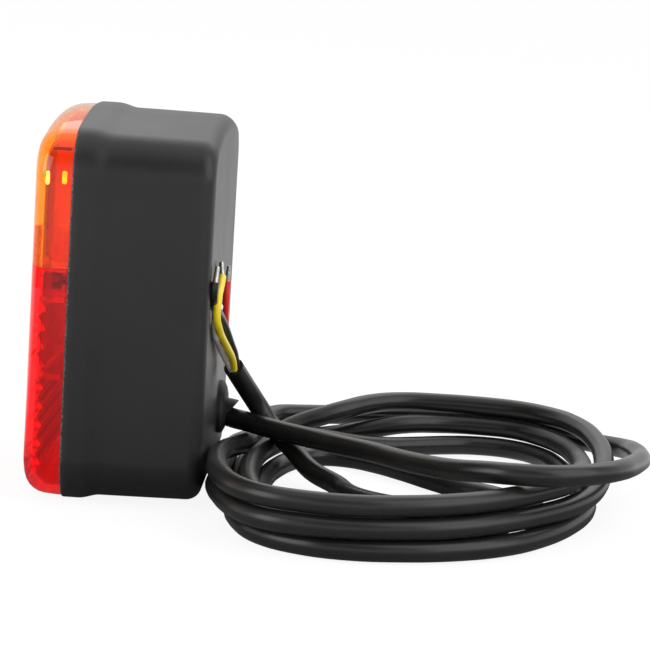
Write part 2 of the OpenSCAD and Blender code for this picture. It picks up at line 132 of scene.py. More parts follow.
CORES = {
    "core_yellow": [(29.9, 0.6, 32.8), (29.6, -4, 36.3), (28.8, -13, 40.6), (27.9, -24, 45.2),
                    (27.2, -34, 49.9), (26.7, -39, 54.6), (26.8, -39, 58.5), (26.9, -33, 61.3),
                    (26.9, -27, 63.6)],
    "core_red": [(29.9, 4.4, 32.2), (28.8, 5, 35.6), (27.6, 4.5, 39.8), (26.8, 2, 44),
                 (26.6, -1, 48), (26.7, -4, 53.7), (26.8, -4, 59.3)],
    "core_black": [(30.3, 3, 32.5), (30.1, 0.5, 36.4), (28.8, -5, 41.7), (27.6, -11, 46.6),
                   (26.6, -18, 50.8), (26, -29, 54.7), (25.8, -41, 59), (25.9, -43, 61.8),
                   (26.1, -43, 64.3)],
    "core_white": [(29.1, 1.6, 32.6), (27.9, -4, 36.3), (26.9, -12, 40.3), (26.3, -22, 44.8),
                   (26.1, -31, 49.1), (26, -31, 51.6), (25.9, -23, 53), (26.1, -21, 54.4)],
}


def soft_curve(name, points, width, sides=5):
    """A smooth round curve through points in millimetres, closed at both ends."""
    data = bpy.data.curves.new(name, "CURVE")
    data.dimensions = "3D"
    data.bevel_depth = width / 2 * MM
    data.bevel_resolution = sides
    data.use_fill_caps = True
    data.resolution_u = 5
    line = data.splines.new("BEZIER")
    line.bezier_points.add(len(points) - 1)
    for knot, point in zip(line.bezier_points, points):
        knot.co = Vector(point) * MM
        knot.handle_left_type = knot.handle_right_type = "AUTO"
    piece = bpy.data.objects.new(name, data)
    bpy.context.scene.collection.objects.link(piece)
    return piece


CABLE_POINTS = LEAD + TOP_TURN + MIDDLE_TURN + FLOOR_TURN + INNER_TURN + TAIL
cable = soft_curve("cable", CABLE_POINTS, CABLE_D, 6)
cores = {name: soft_curve(name, points, CORE_D, 4) for name, points in CORES.items()}


# ---------------------------------------------------------------- modelling helpers
def clear_selection():
    """Leaves edit mode and deselects everything."""
    if bpy.context.object and bpy.context.object.mode != "OBJECT":
        bpy.ops.object.mode_set(mode="OBJECT")
    bpy.ops.object.select_all(action="DESELECT")


def pick(piece, kind, test):
    """Selects a piece's vertices, edges or faces whose places pass test, and stays in edit mode."""
    bpy.ops.object.mode_set(mode="OBJECT")
    mesh = piece.data
    for items in (mesh.vertices, mesh.edges, mesh.polygons):
        items.foreach_set("select", [False] * len(items))
    spots = [v.co for v in mesh.vertices]
    if kind == "VERT":
        for v in mesh.vertices:
            v.select = bool(test(v.co / MM))
    elif kind == "EDGE":
        for e in mesh.edges:
            a, b = spots[e.vertices[0]], spots[e.vertices[1]]
            e.select = bool(test(a / MM, b / MM))
    else:
        for f in mesh.polygons:
            f.select = bool(test(f.center / MM, f.normal))
    bpy.ops.object.mode_set(mode="EDIT")
    bpy.ops.mesh.select_mode(type=kind)


def block(name, low, high):
    """A box between two corners, in millimetres, left in edit mode."""
    clear_selection()
    centre = (Vector(low) + Vector(high)) / 2 * MM
    bpy.ops.mesh.primitive_cube_add(size=1, location=centre)
    piece = bpy.context.object
    piece.name = name
    piece.scale = (Vector(high) - Vector(low)) * MM
    bpy.ops.object.transform_apply(location=True, rotation=True, scale=True)
    bpy.ops.object.mode_set(mode="EDIT")
    return piece


def rod(name, start, end, radius, sides=48):
    """A cylinder between two points, in millimetres, left in object mode."""
    clear_selection()
    a, b = Vector(start) * MM, Vector(end) * MM
    bpy.ops.mesh.primitive_cylinder_add(vertices=sides, radius=radius * MM,
                                        depth=(b - a).length, location=(a + b) / 2)
    piece = bpy.context.object
    piece.name = name
    piece.rotation_mode = "QUATERNION"
    piece.rotation_quaternion = (b - a).to_track_quat("Z", "Y")
    bpy.ops.object.transform_apply(location=True, rotation=True, scale=True)
    return piece


def carve(piece, tools, how="DIFFERENCE"):
    """Cuts or joins the tool pieces, which are then removed."""
    for tool in tools:
        clear_selection()
        bpy.context.view_layer.objects.active = piece
        piece.select_set(True)
        cut = piece.modifiers.new("cut", "BOOLEAN")
        cut.operation = how
        cut.object = tool
        cut.solver = "EXACT"
        bpy.ops.object.modifier_apply(modifier=cut.name)
        bpy.data.objects.remove(tool, do_unlink=True)
    return piece


def finish_mesh(piece, angle):
    """Smooth shading up to an angle in degrees, with flat faces kept flat."""
    clear_selection()
    bpy.context.view_layer.objects.active = piece
    piece.select_set(True)
    bpy.ops.object.shade_smooth_by_angle(angle=math.radians(angle))
    even = piece.modifiers.new("even", "WEIGHTED_NORMAL")
    even.keep_sharp = True
    bpy.ops.object.modifier_apply(modifier=even.name)
    return piece


def fan(y, z, radius, start, end, steps):
    """Points of an arc in the front view, from one angle to the other."""
    turns = [math.radians(start + (end - start) * i / steps) for i in range(steps + 1)]
    return [(y + radius * math.cos(t), z + radius * math.sin(t)) for t in turns]


def front_outline(inset):
    """The lamp's front view outline in millimetres, set in by a distance, with its crowned top."""
    radius = max(CORNER_R - inset, 3.0)
    side, crown = LAMP_W / 2 - inset - radius, CROWN_R - inset
    rise = math.sqrt((crown - radius) ** 2 - side ** 2)
    crown_z, turn = LAMP_TOP - inset - crown, math.degrees(math.atan2(rise, side))
    gap = (90 - turn) / 8
    return (fan(side, crown_z + rise, radius, 0, turn, 12)
            + fan(0, crown_z, crown, turn + gap, 180 - turn - gap, 16)
            + fan(-side, crown_z + rise, radius, 180 - turn, 180, 12)
            + fan(-side, inset + radius, radius, 180, 270, 12)
            + fan(side, inset + radius, radius, 270, 360, 12))


OUTLINE_SIDES = len(front_outline(0))


def lofted(name, stations):
    """A closed form through outlines at (x, inset): a disc extruded ring by ring to its outlines."""
    clear_selection()
    bpy.ops.mesh.primitive_circle_add(vertices=OUTLINE_SIDES, radius=0.05, fill_type="NGON",
                                      rotation=(math.radians(90), 0, math.radians(90)))
    form = bpy.context.object
    form.name = name
    bpy.ops.object.transform_apply(location=True, rotation=True, scale=True)
    bpy.ops.object.mode_set(mode="EDIT")
    bpy.ops.mesh.select_all(action="SELECT")
    for _ in stations[1:]:
        bpy.ops.mesh.extrude_region_move(TRANSFORM_OT_translate={"value": (MM, 0, 0)})
    bpy.ops.object.mode_set(mode="OBJECT")
    spots = form.data.vertices
    for row, (x, inset) in enumerate(stations):
        for k, (y, z) in enumerate(front_outline(inset)):
            spots[row * OUTLINE_SIDES + k].co = (x * MM, y * MM, z * MM)
    bpy.ops.object.mode_set(mode="EDIT")
    bpy.ops.mesh.select_all(action="SELECT")
    bpy.ops.mesh.normals_make_consistent(inside=False)
    bpy.ops.object.mode_set(mode="OBJECT")
    return form


# ---------------------------------------------------------------- housing
def ease(t):
    """A soft step from 0 to 1."""
    return t * t * (3 - 2 * t)


def fillet(x_end, inset_end, radius, steps):
    """Stations of a round from the side of a form onto its end at x_end, turning towards the middle."""
    sign = 1 if x_end > 0 else -1
    turns = [math.pi / 2 * i / steps for i in range(1, steps + 1)]
    return [(x_end - sign * radius * (1 - math.sin(t)), inset_end - radius * math.cos(t)) for t in turns]


def make_housing():
    """The box with its lens lip, rounded back edge, cavity, screw bosses, clamp post and holes."""
    skin = [(SEAM, 0.45), (SEAM + 0.15, 0.15), (SEAM + 0.5, 0.0), (SEAM + 2.4, 0.0), (LIP_END, 0.0)]
    skin += [(LIP_END + (BODY_START - LIP_END) * i / 6, 1.2 * ease(i / 6)) for i in range(1, 7)]
    skin += [(2, 1.25), (10, 1.35), (BACK - 4.3, 1.5)] + fillet(BACK, 5.8, 4.3, 8)
    body = lofted("housing_body", skin)
    cavity = lofted("cavity", [(SEAM - 1, 3.8), (22.2, 4.1)])
    rebate = lofted("rebate", [(SEAM - 1, 1.8), (SEAM + 2.4, 1.8)])
    carve(body, [cavity, rebate])
    bosses = [rod("boss", (-13.5, y, SCREW_Z), (23, y, SCREW_Z), 3.6) for y in (-SCREW_Y, SCREW_Y)]
    bosses += [rod("boss", (18, y, CARRIER_SCREW_Z), (23, y, CARRIER_SCREW_Z), 3.2)
               for y in (-SCREW_Y, SCREW_Y)]
    post = block("post", (12.5, 9, 3), (17.5, 23, 18.5))
    carve(body, bosses + [post], "UNION")
    cuts = [rod("hole", (-15, y, SCREW_Z), (0, y, SCREW_Z), 1.75) for y in (-SCREW_Y, SCREW_Y)]
    cuts += [rod("hole", (17, y, CARRIER_SCREW_Z), (22, y, CARRIER_SCREW_Z), 1.1, 24)
             for y in (-SCREW_Y, SCREW_Y)]
    # The mounting holes stop short of the outside: a thin knock-out skin closes them.
    cuts += [rod("hole", (20, y, MOUNT_Z), (BACK - 0.4, y, MOUNT_Z), MOUNT_R) for y in (-MOUNT_Y, MOUNT_Y)]
    cuts += [rod("hole", (20, GROMMET_Y, GROMMET_Z), (BACK + 2, GROMMET_Y, GROMMET_Z), CABLE_HOLE_R)]
    cuts += [rod("hole", (11, GROMMET_Y, 18.5), (19, GROMMET_Y, 18.5), CABLE_D / 2)]
    carve(body, cuts)
    return finish_mesh(body, SMOOTH_MOULD)


# ---------------------------------------------------------------- lens
# Stations (x, inset) of the lens wall outside and inside
LENS_OUTER = [(SEAM, 0.5), (SEAM - 2, 0.55), (SEAM - 5, 0.8), (-20.6, 1.2), (-22, 1.9), (-23, 2.75),
              (-23.9, 4.0), (-24.4, 5.2), (-24.8, 7.0), (-24.95, 9.4), (LENS_FRONT, 12.5)]
LENS_INNER = [(SEAM + 1, 2.9), (SEAM - 5, 3.2), (-20.6, 4.6), (-21.4, 5.6), (-21.9, 6.6),
              (-22.3, 8.2), (-22.5, 9.9)]
SPLIT_GAP = 0.04
RIB_WALL = 1.4


def lens_shell(name):
    """The whole lens as one moulded shell, open towards the housing."""
    shell = lofted(name, LENS_OUTER)
    hollow = lofted("hollow", LENS_INNER)
    return carve(shell, [hollow])


def keep_between(piece, low, high):
    """Cuts a closed form off flat below and above, closing the cuts."""
    for z, up in ((low, -1), (high, 1)):
        if z is not None:
            pick(piece, "FACE", lambda c, n: True)
            bpy.ops.mesh.bisect(plane_co=(0, 0, z * MM), plane_no=(0, 0, up),
                                use_fill=True, clear_outer=True)
    bpy.ops.object.mode_set(mode="OBJECT")
    return piece


def make_amber_lens():
    """The amber shell, cut off flat where the red one starts."""
    return finish_mesh(keep_between(lens_shell("amber_lens"), AMBER_Z + SPLIT_GAP, None), SMOOTH_MOULD)


def make_red_lens():
    """The red shell with three shelves across it and a bored well for each lens screw."""
    red = keep_between(lens_shell("red_lens"), None, AMBER_Z - SPLIT_GAP)
    ribs = []
    for z in (AMBER_Z - SPLIT_GAP - RIB_WALL, RIB_Z - RIB_WALL, REFLEX_Z - RIB_WALL):
        ribs.append(block("rib", (-22.8, -OPTIC_Y, z), (-15, OPTIC_Y, z + RIB_WALL)))
    ribs += [rod("well", (-23.5, y, SCREW_Z), (-15.4, y, SCREW_Z), 4.1) for y in (-SCREW_Y, SCREW_Y)]
    carve(red, ribs, "UNION")
    holes = [rod("hole", (-30, y, SCREW_Z), (-17, y, SCREW_Z), 3.1) for y in (-SCREW_Y, SCREW_Y)]
    holes += [rod("hole", (-30, y, SCREW_Z), (-10, y, SCREW_Z), 1.7) for y in (-SCREW_Y, SCREW_Y)]
    carve(red, holes)
    return finish_mesh(red, SMOOTH_MOULD)


housing_body = make_housing()
amber_lens = make_amber_lens()
red_lens = make_red_lens()


# ---------------------------------------------------------------- optics inside the lens
def make_optic(name, low_z, high_z, front_x, corner):
    """A moulded optic plate behind each side wall of the lens, with rounded corners at the front."""
    def at_front(a, b):
        return abs(a.y - b.y) > 0.5 and abs(a.x - front_x) < 0.1 and abs(b.x - front_x) < 0.1

    plates = []
    for side in (-1, 1):
        plate = block(name, (front_x, side * OPTIC_Y, low_z), (SEAM - 0.4, side * (OPTIC_Y - 1.2), high_z))
        pick(plate, "EDGE", at_front)
        bpy.ops.mesh.bevel(offset=corner * MM, segments=6, profile=0.5, affect="EDGES")
        bpy.ops.mesh.select_all(action="SELECT")
        bpy.ops.mesh.normals_make_consistent(inside=False)
        plates.append(plate)
    return finish_mesh(join_pieces(plates), SMOOTH_OPTIC)


def join_pieces(pieces):
    """Makes one piece of several, which keeps the first one's name."""
    clear_selection()
    for piece in pieces:
        piece.select_set(True)
    bpy.context.view_layer.objects.active = pieces[0]
    bpy.ops.object.join()
    return pieces[0]


def make_prisms():
    """Wedges along the inside of the front wall of the brake chamber, one above the other."""
    count, pitch, height = 4, 5.2, 4.6
    rows = []
    for i in range(count):
        z = REFLEX_Z + 0.6 + pitch * i
        wedge = block("front_prisms", (-22.3, -43, z), (-20.2, 43, z + height))
        pick(wedge, "VERT", lambda p: p.x > -21)
        bpy.ops.transform.resize(value=(1, 1, 0.08), center_override=(0, 0, (z + 1.0) * MM))
        rows.append(wedge)
    return finish_mesh(join_pieces(rows), SMOOTH_RIDGE)


amber_optic = make_optic("amber_optic", AMBER_Z + 1.5, OPTIC_TOP, -20.6, 3.0)
brake_optic = make_optic("brake_optic", REFLEX_Z + 0.2, RIB_Z - 1.5, -21.0, 3.5)
band_optic = make_optic("band_optic", RIB_Z + 0.2, AMBER_Z - 1.6, -20.8, 0.8)
front_prisms = make_prisms()


def make_glint_facets():
    """Two small facets on the inside of the amber optic, towards its top, which glow strongly through the
    lens as painted yellow glints.
    """
    tiles = []
    low_y, high_y, tall = -44.6, -44.1, 3.6
    for x, z, wide in ((-21.1, 90.3, 1.1), (-16.5, 90.6, 1.4)):
        tile = block("amber_glint_facets", (x - wide / 2, low_y, z - tall / 2),
                     (x + wide / 2, high_y, z + tall / 2))
        pick(tile, "EDGE", lambda a, b: abs(a.y - b.y) > 0.3)
        bpy.ops.mesh.bevel(offset=0.5 * MM, segments=4, affect="EDGES")
        pick(tile, "VERT", lambda p: p.y > -44.4)
        bpy.ops.transform.resize(value=(0.7, 1, 0.8), center_override=(x * MM, 0, z * MM))
        tiles.append(tile)
    return finish_mesh(join_pieces(tiles), SMOOTH_OPTIC)


def make_rim():
    """The thick top edge of the amber optic."""
    rims = []
    for side in (-1, 1):
        rim = block("amber_rim", (-20.0, side * (OPTIC_Y - 0.5), OPTIC_TOP - 0.9),
                    (SEAM - 0.8, side * (OPTIC_Y - 1.9), OPTIC_TOP - 0.1))
        bpy.ops.mesh.select_all(action="SELECT")
        bpy.ops.mesh.normals_make_consistent(inside=False)
        bpy.ops.mesh.bevel(offset=0.2 * MM, segments=2, affect="EDGES")
        rims.append(rim)
    return finish_mesh(join_pieces(rims), SMOOTH_OPTIC)


amber_glint_facets = make_glint_facets()
amber_rims = make_rim()


# ---------------------------------------------------------------- grommet
def make_grommet():
    """A low rubber dome on the back, with a neck through the wall, a flange behind it and a cut sleeve."""
    middle = (0, GROMMET_Y * MM, GROMMET_Z * MM)
    clear_selection()
    bpy.ops.mesh.primitive_cylinder_add(vertices=48, radius=7.9 * MM, depth=1.0 * MM,
                                        location=(0.0255, *middle[1:]), rotation=(0, math.radians(90), 0))
    bead = bpy.context.object
    bead.name = "cable_grommet"
    bpy.ops.object.transform_apply(location=True, rotation=True, scale=True)
    for out, shrink in ((0.6, 0.93), (0.6, 0.84), (0.4, 0.72)):
        crown = max(v.co.x for v in bead.data.vertices) / MM - 0.05
        pick(bead, "FACE", lambda c, n: n.x > 0.9 and c.x > crown)
        bpy.ops.mesh.extrude_region_move(TRANSFORM_OT_translate={"value": (out * MM, 0, 0)})
        bpy.ops.transform.resize(value=(1, shrink, shrink), center_override=middle)
        bpy.ops.object.mode_set(mode="OBJECT")
    pick(bead, "FACE", lambda c, n: n.x < -0.9 and c.x < BACK + 0.1)
    bpy.ops.mesh.inset(thickness=2.4 * MM)
    bpy.ops.mesh.extrude_region_move(TRANSFORM_OT_translate={"value": (-2.8 * MM, 0, 0)})
    bpy.ops.mesh.extrude_region_move(TRANSFORM_OT_translate={"value": (0, 0, 0)})
    bpy.ops.transform.resize(value=(1, 1.27, 1.27), center_override=middle)
    bpy.ops.mesh.extrude_region_move(TRANSFORM_OT_translate={"value": (-1.5 * MM, 0, 0)})
    bpy.ops.object.mode_set(mode="OBJECT")
    sleeve = rod("sleeve", (26, 15.9, 17.6), (31.4, 15.2, 16.9), 4.0)
    pick(sleeve, "FACE", lambda c, n: True)
    bpy.ops.mesh.bisect(plane_co=(0.0306, 0, 0.0205), plane_no=(0.75, 0, -0.66),
                        use_fill=True, clear_outer=True)
    carve(bead, [sleeve], "UNION")
    bores = [rod("bore", (16, 16.2, 19.2), (24, 15.9, 17.3), CABLE_D / 2)]
    bores += [rod("bore", (22, 16.0, 17.9), (34, 14.2, 14.6), CABLE_D / 2)]
    carve(bead, bores)
    return finish_mesh(bead, 40)


grommet = make_grommet()


# ---------------------------------------------------------------- reflex panel
def make_reflex():
    """A panel set behind the front wall, with ridges across its back."""
    bottom, rise, halves = 7.5, 2.65, 10
    panel = block("reflex_panel", (-22.3, -42.5, bottom), (-20.1, 42.5, bottom + rise * halves))
    for i in range(1, halves):
        pick(panel, "FACE", lambda c, n: True)
        bpy.ops.mesh.bisect(plane_co=(0, 0, (bottom + rise * i) * MM), plane_no=(0, 0, 1))
    valleys = [bottom + 2 * rise * i for i in range(halves // 2 + 1)]
    pick(panel, "VERT", lambda p: p.x > -21 and min(abs(p.z - z) for z in valleys) < 0.1)
    bpy.ops.transform.translate(value=(-1.5 * MM, 0, 0))
    return finish_mesh(panel, SMOOTH_RIDGE)


reflex = make_reflex()


# ---------------------------------------------------------------- bare wire ends
def make_wire_end(name, base, top):
    """A bare strand bundle that narrows a little at its tip."""
    end = rod(name, base, top, 0.75, 16)
    pick(end, "VERT", lambda p: p.z > top[2] - 0.1)
    bpy.ops.transform.resize(value=(0.8, 0.8, 1), center_override=Vector(top) * MM)
    return finish_mesh(end, 50)


WIRE_ENDS = {
    "end_yellow": ((26.9, -27.1, 63.3), (26.3, -25, 67.4)),
    "end_red": ((26.8, -4, 59), (27.1, -4, 63.7)),
    "end_black": ((26.1, -43.1, 64), (26.3, -41, 68.2)),
    "end_white": ((26.1, -21.1, 54.1), (26.2, -20, 58.3)),
}
wire_ends = {name: make_wire_end(name, *spots) for name, spots in WIRE_ENDS.items()}


# ---------------------------------------------------------------- node helpers
def feed(tree, socket, value):
    """Links an input to another node's output, or sets it to a plain value."""
    if isinstance(value, bpy.types.NodeSocket):
        tree.links.new(value, socket)
    else:
        socket.default_value = value


def maths(tree, operation, first, second, clamp=False):
    """One sum on two numbers, each a plain value or another node's output."""
    node = tree.nodes.new("ShaderNodeMath")
    node.operation = operation
    node.use_clamp = clamp
    feed(tree, node.inputs[0], first)
    feed(tree, node.inputs[1], second)
    return node.outputs["Value"]


def ranged(tree, value, low, high, first=0.0, last=1.0):
    """A number that goes from first to last as value goes from low to high."""
    node = tree.nodes.new("ShaderNodeMapRange")
    node.inputs["From Min"].default_value = low
    node.inputs["From Max"].default_value = high
    node.inputs["To Min"].default_value = first
    node.inputs["To Max"].default_value = last
    tree.links.new(value, node.inputs["Value"])
    return node.outputs["Result"]


def blended(tree, share, first, second, kind="FLOAT"):
    """A number, or with RGBA a colour, that goes from first to second."""
    node = tree.nodes.new("ShaderNodeMix")
    node.data_type = kind
    feed(tree, node.inputs["Factor"], share)
    feed(tree, node.inputs["A"], first)
    feed(tree, node.inputs["B"], second)
    return node.outputs["Result"]


def speckled(tree, place, scale, detail=2.0, roughness=0.5):
    """Noise over the surface, from 0 to 1."""
    node = tree.nodes.new("ShaderNodeTexNoise")
    node.inputs["Detail"].default_value = detail
    node.inputs["Roughness"].default_value = roughness
    tree.links.new(place, node.inputs["Vector"])
    feed(tree, node.inputs["Scale"], scale)
    return node.outputs["Fac"]


def coordinate(tree, place, axis):
    """One coordinate of a place or a direction."""
    node = tree.nodes.new("ShaderNodeSeparateXYZ")
    tree.links.new(place, node.inputs["Vector"])
    return node.outputs[axis]


# ---------------------------------------------------------------- shader groups
VECTOR, NUMBER, COLOUR = "NodeSocketVector", "NodeSocketFloat", "NodeSocketColor"


def new_group(name, inputs, outputs):
    """An empty node group with named inputs and outputs."""
    group = bpy.data.node_groups.new(name, "ShaderNodeTree")
    for label, kind, value in inputs:
        socket = group.interface.new_socket(name=label, in_out="INPUT", socket_type=kind)
        if value is not None:
            socket.default_value = value
    for label, kind in outputs:
        group.interface.new_socket(name=label, in_out="OUTPUT", socket_type=kind)
    start = group.nodes.new("NodeGroupInput")
    end = group.nodes.new("NodeGroupOutput")
    return group, start.outputs, end.inputs


def make_grain_group():
    """Fine moulded grain: a bump normal and a mask from noise at the grain's size."""
    group, given, result = new_group(
        "moulded_grain",
        [("Vector", VECTOR, None), ("Scale", NUMBER, 900.0), ("Strength", NUMBER, 0.15)],
        [("Normal", VECTOR), ("Mask", NUMBER)])
    grains = speckled(group, given["Vector"], given["Scale"], 4, 0.6)
    bump = group.nodes.new("ShaderNodeBump")
    bump.inputs["Distance"].default_value = 0.0003
    group.links.new(given["Strength"], bump.inputs["Strength"])
    group.links.new(grains, bump.inputs["Height"])
    group.links.new(bump.outputs["Normal"], result["Normal"])
    group.links.new(grains, result["Mask"])
    return group


def make_haze_group():
    """Soft cloudy variation between two colours, for dust and handling."""
    group, given, result = new_group(
        "surface_haze",
        [("Vector", VECTOR, None), ("Scale", NUMBER, 30.0), ("Clean", COLOUR, (0, 0, 0, 1)),
         ("Hazy", COLOUR, (0.1, 0.1, 0.1, 1)), ("Amount", NUMBER, 0.5)],
        [("Color", COLOUR), ("Mask", NUMBER)])
    clouds = ranged(group, speckled(group, given["Vector"], given["Scale"], 6), 0.35, 0.75)
    mask = maths(group, "MULTIPLY", clouds, given["Amount"])
    group.links.new(blended(group, mask, given["Clean"], given["Hazy"], "RGBA"), result["Color"])
    group.links.new(mask, result["Mask"])
    return group


def make_rub_group():
    """Paler rubbed edges: a mask from the pointiness of the mesh, broken up by noise."""
    group, given, result = new_group(
        "edge_rub",
        [("Vector", VECTOR, None), ("Base", COLOUR, (0, 0, 0, 1)),
         ("Rubbed", COLOUR, (0.1, 0.1, 0.1, 1)), ("Amount", NUMBER, 0.5)],
        [("Color", COLOUR), ("Mask", NUMBER)])
    shape = group.nodes.new("ShaderNodeNewGeometry")
    edges = ranged(group, shape.outputs["Pointiness"], 0.51, 0.58)
    broken = maths(group, "MULTIPLY", edges, speckled(group, given["Vector"], 260, 3))
    mask = maths(group, "MULTIPLY", broken, given["Amount"])
    group.links.new(blended(group, mask, given["Base"], given["Rubbed"], "RGBA"), result["Color"])
    group.links.new(mask, result["Mask"])
    return group


GRAIN, HAZE, RUB = make_grain_group(), make_haze_group(), make_rub_group()


# ---------------------------------------------------------------- surfaces
# The lines between reflector cells, pale specks on the lip that are partly wear and partly painted glints,
# and the way to the room's light
CELL_LINE = (0.25, 0.004, 0.006, 1)
LIP_WEAR_AND_GLINT = (0.2, 0.19, 0.19, 1)
ROOM_LIGHT = (-0.5, -0.35, 0.79)


def placed(tree, group, place, **values):
    """A shader group in a material, at a place, with its inputs given by name."""
    node = tree.nodes.new("ShaderNodeGroup")
    node.node_tree = group
    tree.links.new(place, node.inputs["Vector"])
    for label, value in values.items():
        feed(tree, node.inputs[label], value)
    return node.outputs


def add_cells(tree, place, colour, scale):
    """Square reflector cells across y and z, darker towards their borders."""
    flat = tree.nodes.new("ShaderNodeMapping")
    flat.inputs["Scale"].default_value = (0, 1, 1)
    tree.links.new(place, flat.inputs["Vector"])
    grid = tree.nodes.new("ShaderNodeTexVoronoi")
    grid.distance = "CHEBYCHEV"
    grid.inputs["Scale"].default_value = scale
    grid.inputs["Randomness"].default_value = 0.0
    tree.links.new(flat.outputs["Vector"], grid.inputs["Vector"])
    border = ranged(tree, grid.outputs["Distance"], 0.0, 0.5, 0.0, 0.75)
    return blended(tree, border, colour, CELL_LINE, "RGBA")


def add_lip_specks(tree, place, colour, lip):
    """Small pale specks along the edge of the lip, on its side of x = lip, in millimetres: partly wear,
    partly painted glints where the edge catches light.
    """
    band = ranged(tree, coordinate(tree, place, "X"), lip * MM, (lip - 0.4) * MM)
    specks = ranged(tree, speckled(tree, place, 2600), 0.5, 0.62)
    return blended(tree, maths(tree, "MULTIPLY", band, specks), colour, LIP_WEAR_AND_GLINT, "RGBA")


def add_lost_light_glow(tree, shader, colour):
    """A painted glow in the plastic's colour where light turns in it more often than it is followed,
    standing in for the light that is lost there.
    """
    path = tree.nodes.new("ShaderNodeLightPath")
    lost = maths(tree, "GREATER_THAN", path.outputs["Glossy Depth"], 2.5)
    feed(tree, shader.inputs["Emission Strength"], maths(tree, "MULTIPLY", lost, 0.4))
    shader.inputs["Emission Color"].default_value = (*colour, 1)


def add_inner_light(tree, shader, colour, strength):
    """Light of its own where the surface is seen through plastic, stronger where it faces the room."""
    path = tree.nodes.new("ShaderNodeLightPath")
    shape = tree.nodes.new("ShaderNodeNewGeometry")
    facing = tree.nodes.new("ShaderNodeVectorMath")
    facing.operation = "DOT_PRODUCT"
    facing.inputs[1].default_value = ROOM_LIGHT
    tree.links.new(shape.outputs["Normal"], facing.inputs[0])
    lit = ranged(tree, facing.outputs["Value"], -1.0, 1.0, 0.45 * strength, strength)
    through = maths(tree, "MULTIPLY", path.outputs["Is Transmission Ray"], lit)
    feed(tree, shader.inputs["Emission Strength"], through)
    feed(tree, shader.inputs["Emission Color"], colour)


def shade(name, clean, hazy, rubbed=None, roughness=0.5, haze_scale=30.0, haze_amount=0.5,
          grain_scale=900.0, grain=0.1, sockets=None, rough_spread=0.1, lost_glow=None, inner=0.0,
          lip=None, cells=0.0):
    """A finished surface: cloudy colour, rubbed edges and moulded grain on one Principled shader."""
    material = bpy.data.materials.new(name)
    material.use_nodes = True
    tree = material.node_tree
    shader = tree.nodes["Principled BSDF"]
    place = tree.nodes.new("ShaderNodeTexCoord").outputs["Object"]
    haze = placed(tree, HAZE, place, Scale=haze_scale, Clean=(*clean, 1), Hazy=(*hazy, 1),
                  Amount=haze_amount)
    colour = haze["Color"]
    if rubbed:
        colour = placed(tree, RUB, place, Base=colour, Rubbed=(*rubbed, 1), Amount=0.8)["Color"]
    if cells:
        colour = add_cells(tree, place, colour, cells)
    # pale lip specks: partly wear, partly painted glints
    if lip is not None:
        colour = add_lip_specks(tree, place, colour, lip)
    feed(tree, shader.inputs["Base Color"], colour)
    half = rough_spread / 2
    rough = ranged(tree, haze["Mask"], 0.0, 1.0, roughness - half, roughness + half)
    feed(tree, shader.inputs["Roughness"], rough)
    if grain:
        skin = placed(tree, GRAIN, place, Scale=grain_scale, Strength=grain)
        feed(tree, shader.inputs["Normal"], skin["Normal"])
    # painted glow in the plastic's colour, standing in for light lost inside it
    if lost_glow:
        add_lost_light_glow(tree, shader, lost_glow)
    if inner:
        add_inner_light(tree, shader, colour, inner)
    for socket, value in (sockets or {}).items():
        shader.inputs[socket].default_value = value
    return material


black_mould = shade("black_moulding", (0.009, 0.0087, 0.0087), (0.015, 0.0145, 0.0145), (0.06, 0.06, 0.06),
                    roughness=0.42, haze_scale=26, haze_amount=0.7, grain_scale=1400, grain=0.16,
                    lip=SEAM + 0.7)
cable_skin = shade("cable_jacket", (0.011, 0.0102, 0.0098), (0.019, 0.0175, 0.017), None,
                   roughness=0.32, haze_scale=70, haze_amount=0.6, grain_scale=1800, grain=0.06)
rubber = shade("grommet_rubber", (0.012, 0.012, 0.012), (0.03, 0.03, 0.028), (0.05, 0.05, 0.05),
               roughness=0.55, haze_scale=120, haze_amount=0.6, grain_scale=2000, grain=0.12)
LENS_GLOSS = {"Transmission Weight": 1.0, "IOR": 1.01, "Coat Weight": 1.0, "Coat IOR": 1.5,
              "Coat Roughness": 0.04}
OPTIC_GLOSS = {"Transmission Weight": 1.0, "IOR": 1.16}
amber_glass = shade("amber_lens_plastic", (1.0, 0.29, 0.014), (1.0, 0.23, 0.01), None, roughness=0.04,
                    haze_scale=60, haze_amount=0.5, grain_scale=400, grain=0.02, rough_spread=0.04,
                    sockets=LENS_GLOSS, lost_glow=(1.0, 0.2, 0.02))
red_glass = shade("red_lens_plastic", (0.92, 0.024, 0.028), (0.88, 0.016, 0.02), None, roughness=0.04,
                  haze_scale=60, haze_amount=0.5, grain_scale=400, grain=0.02, rough_spread=0.04,
                  sockets=LENS_GLOSS, lost_glow=(1.0, 0.02, 0.02))
amber_cut = shade("amber_optic_plastic", (1.0, 0.62, 0.2), (0.94, 0.35, 0.1), None, roughness=0.12,
                  haze_scale=120, haze_amount=0.9, grain_scale=260, grain=1.0, rough_spread=0.1,
                  sockets=OPTIC_GLOSS)
red_cut = shade("red_optic_plastic", (0.96, 0.3, 0.3), (0.82, 0.15, 0.15), None, roughness=0.12,
                haze_scale=120, haze_amount=0.9, grain_scale=260, grain=1.0, rough_spread=0.1,
                sockets=OPTIC_GLOSS)
red_prism = shade("red_prism_plastic", (1.0, 0.03, 0.04), (0.8, 0.02, 0.03), None, roughness=0.15,
                  haze_scale=120, haze_amount=0.9, grain_scale=300, grain=0.3, rough_spread=0.06, inner=0.6)
reflex_red = shade("reflex_plastic", (1.0, 0.04, 0.05), (0.85, 0.025, 0.035), None, roughness=0.12,
                   haze_scale=90, haze_amount=0.9, grain_scale=300, grain=0.5, rough_spread=0.06,
                   inner=0.85, cells=380)
